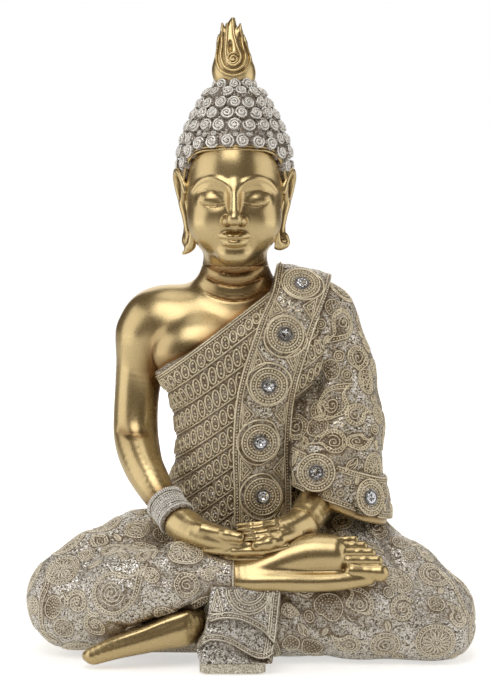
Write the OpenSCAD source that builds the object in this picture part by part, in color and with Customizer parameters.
// Seated meditation figure: a hollow cast statue in a jewelled robe.
// Right and left in the names are the figure's own: its right side is at -X, and it faces -Y.

/* [Whole figure] */
// Overall height, from the resting face to the tip of the flame
overall_height = 470; // [300:10:600]
// Wall thickness of the hollow castings
wall = 5.5; // [4:0.5:9]

/* [Robe] */
// How far the wrapped robe stands out from the body
robe_thickness = 3; // [2:0.5:5]
// Width of the sash that hangs from the left shoulder
sash_width = 44; // [36:1:52]
// Height of the decorated cuff along the sleeve's hem
cuff_height = 30; // [20:1:36]

/* [Stones] */
// Diameter of each flat-backed stone
stone_d = 8.6; // [6:0.2:10]
// Diameter of the raised medallion around each stone
medallion_d = 30; // [20:1:34]

/* [Base] */
// Diameter of the felt pads
pad_d = 14; // [10:1:16]
// Thickness of the felt pads
pad_h = 1.2; // [0.8:0.2:2]
// Diameter of the casting's pouring hole, which the plug closes
plug_d = 36; // [24:1:40]

/* [Hidden] */

design_height = 470;
k = overall_height / design_height;
glue_gap = 0.1;
far = 400;
gold = "#b8955a";
glitter = "#b9b09a";
silver = "#c8c6c0";
hull_fn = 16;
slice_fn = 24;
// Moves the middle of the resting footprint to the origin.
stand_shift = [-0.25, 9.5, 0];

// The figure's own middle stands a little to the right of the knees' middle.
axis_x = -11;
floor_z = pad_h;
plate_top = 8;
neck_base = 282;
neck_spigot_r = 14;
neck_spigot_h = 14;
finial_base = 421;
finial_spigot_r = 5;
finial_spigot_h = 10;

// Each level of the trunk: height, centre x, centre y, half width, half depth
trunk = [
    [plate_top, axis_x, 22, 56, 40], [46, axis_x, 24, 62, 50], [80, axis_x, 22, 60, 44], [112, axis_x, 22, 52, 41], [140, -10, 20, 49, 39],
    [175, -9, 18, 53, 41], [208, -8, 18, 60, 42], [235, -8, 20, 66, 38], [254, -9, 22, 60, 31],
    [268, -10, 22, 44, 25], [neck_base, -10, 20, 28, 22]
];
// The levels of the neck and skull, in the same order of values
skull = [
    [neck_base, -10, 20, 26, 22], [290, -10, 17, 23, 21], [302, axis_x, 6, 25, 32], [316, axis_x, 8, 33, 40],
    [334, axis_x, 10, 37, 44], [354, axis_x, 12, 38, 46], [374, axis_x, 14, 37, 45], [390, axis_x, 16, 30, 37],
    [400, axis_x, 17, 18, 24]
];
// Outline of the hair, radius against height, up to the knot that carries the flame
hair_axis = [-11.5, 16];
hair_outline = [
    [0, 306], [40, 306], [45, 330], [46.5, 350], [46, 362], [43.5, 378], [38, 394], [30, 407], [22, 416],
    [16, finial_base], [0, finial_base]
];
finial_outline = [
    [0, finial_base], [14, finial_base], [16.3, 426], [16.8, 432], [15, 440], [11.8, 448], [10, 455],
    [7.4, 462], [3.4, 468], [0, design_height]
];

// Limbs are chains of ellipsoids: centre x, y, z and half sizes x, y, z
right_thigh = [
    [-40, 30, 62, 44, 50, 40], [-80, 8, 64, 42, 44, 41], [-116, -10, 48, 40, 38, 37], [-130, -16, 38, 36, 36, 35]
];
right_shin = [
    [-128, -28, 34, 34, 30, 30], [-90, -46, 46, 28, 27, 32], [-50, -60, 64, 22, 20, 24], [-16, -68, 68, 6, 15, 14]
];
left_thigh = [
    [20, 30, 62, 44, 50, 40], [78, 8, 67, 42, 44, 41], [116, -12, 50, 40, 38, 38], [130, -22, 37, 36.5, 37, 34]
];
left_shin = [
    [128, -38, 32, 34, 30, 30], [80, -44, 36, 34, 30, 34], [30, -48, 34, 34, 28, 32], [-20, -52, 30, 28, 24, 28]
];
left_foot_path = [
    [-111, -73, 13, 10, 10, 8], [-85, -71, 19, 12, 13, 12], [-60, -68, 25, 14, 14, 15], [-38, -66, 31, 12, 14, 15]
];
right_foot_path = [
    [-12, -69, 68, 6, 13, 12], [15, -71, 71, 14, 14, 12], [45, -69, 76, 16, 16, 15], [72, -65, 78, 14, 18, 15],
    [90, -64, 73, 10, 17, 10]
];
right_arm_path = [
    [-69, 22, 242, 29, 27, 29], [-82, 21, 213, 20, 21, 22], [-86, 19, 184, 17.8, 19, 18],
    [-86, 13, 158, 18.6, 20, 19], [-80, -4, 135, 16.5, 17, 16], [-70, -22, 120, 14.5, 15, 14],
    [-60, -37, 109, 12, 12.5, 11.5]
];
right_hand_path = [
    [-54, -46, 102, 12, 12, 11], [-36, -58, 95, 14, 14, 9], [-14, -64, 90, 14, 14, 8], [8, -66, 87, 11, 12, 6],
    [26, -66, 87, 6, 9, 5]
];
left_hand_path = [
    [66, -20, 124, 15, 15, 14], [46, -42, 108, 12, 12, 11.5], [28, -56, 101, 14, 13, 9],
    [8, -61, 100, 14, 12, 7], [-8, -62, 100, 8, 10, 5]
];
sleeve_path = [
    [47, 20, 245, 27, 30, 29], [65, 18, 205, 28, 29, 30], [70, 10, 165, 30, 33, 32], [66, 2, 138, 33, 37, 24],
    [84, -2, 110, 27, 32, 18]
];
right_ear_path = [[-55, 16, 350, 4, 8, 8], [-52, 14, 328, 4, 7, 10], [-47, 8, 304, 5.5, 7, 9]];

// The hem's height falls from the figure's middle towards its elbow.
hem_z0 = 128.4;
hem_slope = -0.34;
// The robe's upper edge rises across the chest to the left shoulder.
neckline_z0 = 250;
neckline_slope = 0.62;

// Middle of the sash at a few heights: x, z
sash_middle = [[10, 96], [11, 125], [14, 175], [22, 225], [32, 262], [39, 294]];

// Stones on the sash: centre of the back face, then the direction it faces as turn about Z and tilt upwards
stone_seats = [
    [[37.5, -5, 275], 8, 42], [[26.2, -25, 238], 12, 14], [[14, -29, 198], 10, 2], [[9.5, -24.5, 158], 8, 0],
    [[9.5, -27, 119], 6, 0]
];
cuff_seats = [[[50, -40.5, 138], 0, 8], [[91.5, -35.5, 116.5], 38, 8]];

pad_places = [[-104, -8], [-50, 36], [32, 36], [104, -14], [axis_x, -82]];

// ---- shapes that several parts share ----

module ellipsoid(e, grow) {
    translate([e[0], e[1], e[2]])
        scale([e[3] + grow, e[4] + grow, e[5] + grow])
            sphere(r = 1, $fn = hull_fn);
}

module limb(path, grow = 0) {
    for (i = [0:len(path) - 2]) {
        hull() {
            ellipsoid(path[i], grow);
            ellipsoid(path[i + 1], grow);
        }
    }
}

module slice(level, grow) {
    translate([level[1], level[2], level[0]])
        scale([level[3] + grow, level[4] + grow, 1])
            cylinder(r = 1, h = 0.05, $fn = slice_fn);
}

module lofted(levels, grow = 0) {
    for (i = [0:len(levels) - 2]) {
        hull() {
            slice(levels[i], grow);
            slice(levels[i + 1], grow);
        }
    }
}

// Everything below a plane that rises with x, as slope and height at x = 0
module below(z0, slope) {
    rotate([90, 0, 0])
        linear_extrude(2 * far, center = true)
            polygon([[-far, -far], [far, -far], [far, z0 + slope * far], [-far, z0 - slope * far]]);
}

module above_floor() {
    translate([-far, -far, floor_z]) cube([2 * far, 2 * far, far]);
}

// The cloth bridges the hollow between the thigh and the shin.
module left_leg_mass(grow = 0) {
    limb(left_thigh, grow);
    limb(left_shin, grow);
    limb([left_thigh[1], left_shin[1]], grow);
}

module right_leg_mass(grow = 0) {
    limb(right_thigh, grow);
    limb(right_shin, grow);
    limb([right_thigh[1], right_shin[1]], grow);
}

module legs_mass() {
    left_leg_mass();
    right_leg_mass();
}

module plate_mass() {
    translate([0, 0, floor_z]) linear_extrude(plate_top - floor_z) {
        plate_outline();
    }
}

module plate_outline() {
    hull() {
        for (spot = [[-104, -8], [-50, 32], [32, 32], [104, -14]]) translate(spot) circle(r = 20, $fn = 48);
    }
    hull() {
        for (spot = [[-28, -88], [3, -88], [-28, -30], [3, -30]]) translate(spot) circle(r = 8, $fn = 32);
    }
}

module wrist_frame() {
    translate([-60, -37, 109]) rotate([0, 0, -56]) rotate([0, 121, 0]) children();
}

module sash_band() {
    half = sash_width / 2;
    left = [for (p = sash_middle) [p[0] - half, p[1]]];
    right = [for (i = [len(sash_middle) - 1:-1:0]) [sash_middle[i][0] + half, sash_middle[i][1]]];
    rotate([90, 0, 0]) linear_extrude(2 * far, center = true) polygon(concat(left, right));
}

module sash_mass() {
    intersection() {
        union() {
            lofted(trunk, 2 * robe_thickness);
            limb([for (i = [0:1]) sleeve_path[i]], 2 * robe_thickness);
        }
        sash_band();
    }
}

module facing(seat) {
    translate(seat[0]) rotate([0, 0, seat[1]]) rotate([90 - seat[2], 0, 0]) children();
}

module medallion(seat) {
    facing(seat) translate([0, 0, -9]) cylinder(d1 = medallion_d - 2, d2 = medallion_d - 6, h = 10, $fn = 40);
}

module stone_cup(seat) {
    facing(seat) cylinder(d = stone_d + 2 * glue_gap, h = 6, $fn = 40);
}

module sleeve_mass(grow = 0) {
    difference() {
        limb(sleeve_path, grow);
        below(hem_z0, hem_slope);
    }
}

// ---- base ----

module base_plate() {
    color(glitter) difference() {
        plate_mass();
        translate([axis_x, 5, 0]) cylinder(d = plug_d + 2 * glue_gap, h = plate_top + 1, $fn = 64);
    }
}

module base_plug() {
    color("dimgray") translate([axis_x, 5, floor_z + 0.6]) {
        cylinder(d = plug_d, h = plate_top - floor_z - 0.6, $fn = 64);
    }
}

module felt_pads() {
    color("black") for (spot = pad_places) translate(spot) cylinder(d = pad_d, h = pad_h, $fn = 48);
}

// ---- legs and drape ----

module left_leg() {
    color(glitter) difference() {
        intersection() {
            left_leg_mass();
            above_floor();
        }
        left_leg_mass(-wall);
        lofted(trunk);
        plate_mass();
    }
}

module right_leg() {
    color(glitter) difference() {
        intersection() {
            right_leg_mass();
            above_floor();
        }
        right_leg_mass(-wall);
        left_leg_mass();
        lofted(trunk);
        plate_mass();
    }
}

module left_foot() {
    color(gold) difference() {
        limb(left_foot_path);
        legs_mass();
    }
}

module right_foot() {
    color(gold) difference() {
        limb(right_foot_path);
        legs_mass();
    }
}

module drape_mass() {
    translate([0, -74, plate_top]) rotate([90, 0, 0]) linear_extrude(24) polygon([
        [-36, 0], [-32, 36], [-28, 54], [26, 54], [22, 18], [17, 0]
    ]);
}

module front_drape() {
    color(glitter) difference() {
        drape_mass();
        legs_mass();
        limb(left_foot_path);
        limb(right_foot_path);
    }
}

// ---- trunk, robe and jewels ----

module torso() {
    color(gold) difference() {
        lofted(trunk);
        lofted([for (level = trunk) if (level[0] < 260) level], -wall);
        translate([0, 0, -1]) lofted([trunk[0], trunk[1]], -wall);
        translate([-10, 20, neck_base - neck_spigot_h - 0.5]) {
            cylinder(r = neck_spigot_r + glue_gap, h = neck_spigot_h + 1, $fn = 48);
        }
    }
}

module robe_wrap() {
    color(glitter) difference() {
        intersection() {
            lofted(trunk, robe_thickness);
            below(neckline_z0, neckline_slope);
            translate([-far, -far, 60]) cube([2 * far, 2 * far, far]);
        }
        lofted(trunk);
        legs_mass();
    }
}

module shoulder_sash() {
    color(glitter) difference() {
        union() {
            sash_mass();
            for (seat = stone_seats) medallion(seat);
        }
        lofted(trunk, robe_thickness);
        sleeve_mass();
        legs_mass();
        skull_mass();
        for (seat = stone_seats) stone_cup(seat);
    }
}

module left_sleeve() {
    color(glitter) difference() {
        sleeve_mass();
        lofted(trunk, robe_thickness);
        limb(left_hand_path);
        legs_mass();
        limb([for (i = [0:2]) sleeve_path[i]], -2 * wall);
    }
}

module sleeve_cuff() {
    color(glitter) difference() {
        union() {
            intersection() {
                sleeve_mass(robe_thickness);
                below(hem_z0 + cuff_height, hem_slope);
            }
            for (seat = cuff_seats) medallion(seat);
        }
        sleeve_mass();
        lofted(trunk, 2 * robe_thickness);
        limb(left_hand_path);
        sash_mass();
        for (seat = stone_seats) medallion(seat);
        legs_mass();
        below(hem_z0, hem_slope);
        for (seat = cuff_seats) stone_cup(seat);
    }
}

module stone(seat) {
    girdle = 1;
    crown = 1.8;
    color("white") facing(seat) rotate_extrude($fn = 48) {
        polygon([[0, 0], [stone_d / 2, 0], [stone_d / 2, girdle], [stone_d / 4, girdle + crown], [0, girdle + crown]]);
    }
}

// ---- arms and hands ----

module right_arm() {
    color(gold) difference() {
        limb(right_arm_path);
        lofted(trunk, robe_thickness);
        legs_mass();
    }
}

module bracelet() {
    color(silver) difference() {
        wrist_frame() translate([0, 0, -10]) cylinder(r1 = 17, r2 = 15.5, h = 21, $fn = 40);
        limb(right_arm_path);
        limb(right_hand_path);
        lofted(trunk, robe_thickness);
        legs_mass();
    }
}

module right_hand() {
    color(gold) difference() {
        limb(right_hand_path);
        limb(right_arm_path);
        limb(right_foot_path);
        legs_mass();
    }
}

module left_hand() {
    color(gold) difference() {
        limb(left_hand_path);
        limb(right_hand_path);
        limb(right_foot_path);
        lofted(trunk, 2 * robe_thickness);
        legs_mass();
    }
}

// ---- head ----

module skull_mass() {
    lofted(skull);
    translate([-10, 20, neck_base - neck_spigot_h]) cylinder(r = neck_spigot_r, h = neck_spigot_h + 2, $fn = 48);
}

module hair_mass() {
    translate([hair_axis[0], hair_axis[1], 0]) rotate_extrude($fn = 48) polygon(hair_outline);
}

module head() {
    inner_levels = [for (level = skull) if (level[0] > 310 && level[0] < 395) level];
    color(gold) difference() {
        skull_mass();
        lofted(inner_levels, -wall);
        translate([-10, 20, neck_base - neck_spigot_h - 1]) cylinder(r = neck_spigot_r - wall, h = 50, $fn = 32);
    }
}

module hair_cap() {
    hairline_front = 377;
    hairline_fall = 0.75;
    color(silver) difference() {
        hair_mass();
        lofted(skull);
        rotate([90, 0, 90]) linear_extrude(2 * far, center = true) polygon([
            [-far, 0], [-far, hairline_front], [-32, hairline_front], [64, hairline_front - 96 * hairline_fall], [64, 0]
        ]);
        translate([hair_axis[0], hair_axis[1], finial_base - finial_spigot_h - 0.5]) {
            cylinder(r = finial_spigot_r + glue_gap, h = far, $fn = 40);
        }
    }
}

module right_ear() {
    color(gold) difference() {
        limb(right_ear_path);
        hair_mass();
        lofted(skull);
    }
}

module left_ear() {
    color(gold) translate([2 * axis_x, 0, 0]) mirror([1, 0, 0]) difference() {
        limb(right_ear_path);
        translate([2 * axis_x, 0, 0]) mirror([1, 0, 0]) hair_mass();
        lofted(skull);
    }
}

module flame_finial() {
    color(gold) translate([hair_axis[0], hair_axis[1], 0]) {
        rotate_extrude($fn = 64) polygon(finial_outline);
        translate([0, 0, finial_base - finial_spigot_h]) {
            cylinder(r = finial_spigot_r, h = finial_spigot_h + 2, $fn = 40);
        }
    }
}

translate(stand_shift) scale(k) {
    base_plate();
    base_plug();
    felt_pads();
    left_leg();
    right_leg();
    left_foot();
    right_foot();
    front_drape();
    torso();
    robe_wrap();
    shoulder_sash();
    left_sleeve();
    sleeve_cuff();
    right_arm();
    bracelet();
    right_hand();
    left_hand();
    head();
    hair_cap();
    left_ear();
    right_ear();
    flame_finial();
    stone(stone_seats[0]);  // sash_stone_1
    stone(stone_seats[1]);  // sash_stone_2
    stone(stone_seats[2]);  // sash_stone_3
    stone(stone_seats[3]);  // sash_stone_4
    stone(stone_seats[4]);  // sash_stone_5
    stone(cuff_seats[0]);  // cuff_stone_1
    stone(cuff_seats[1]);  // cuff_stone_2
}
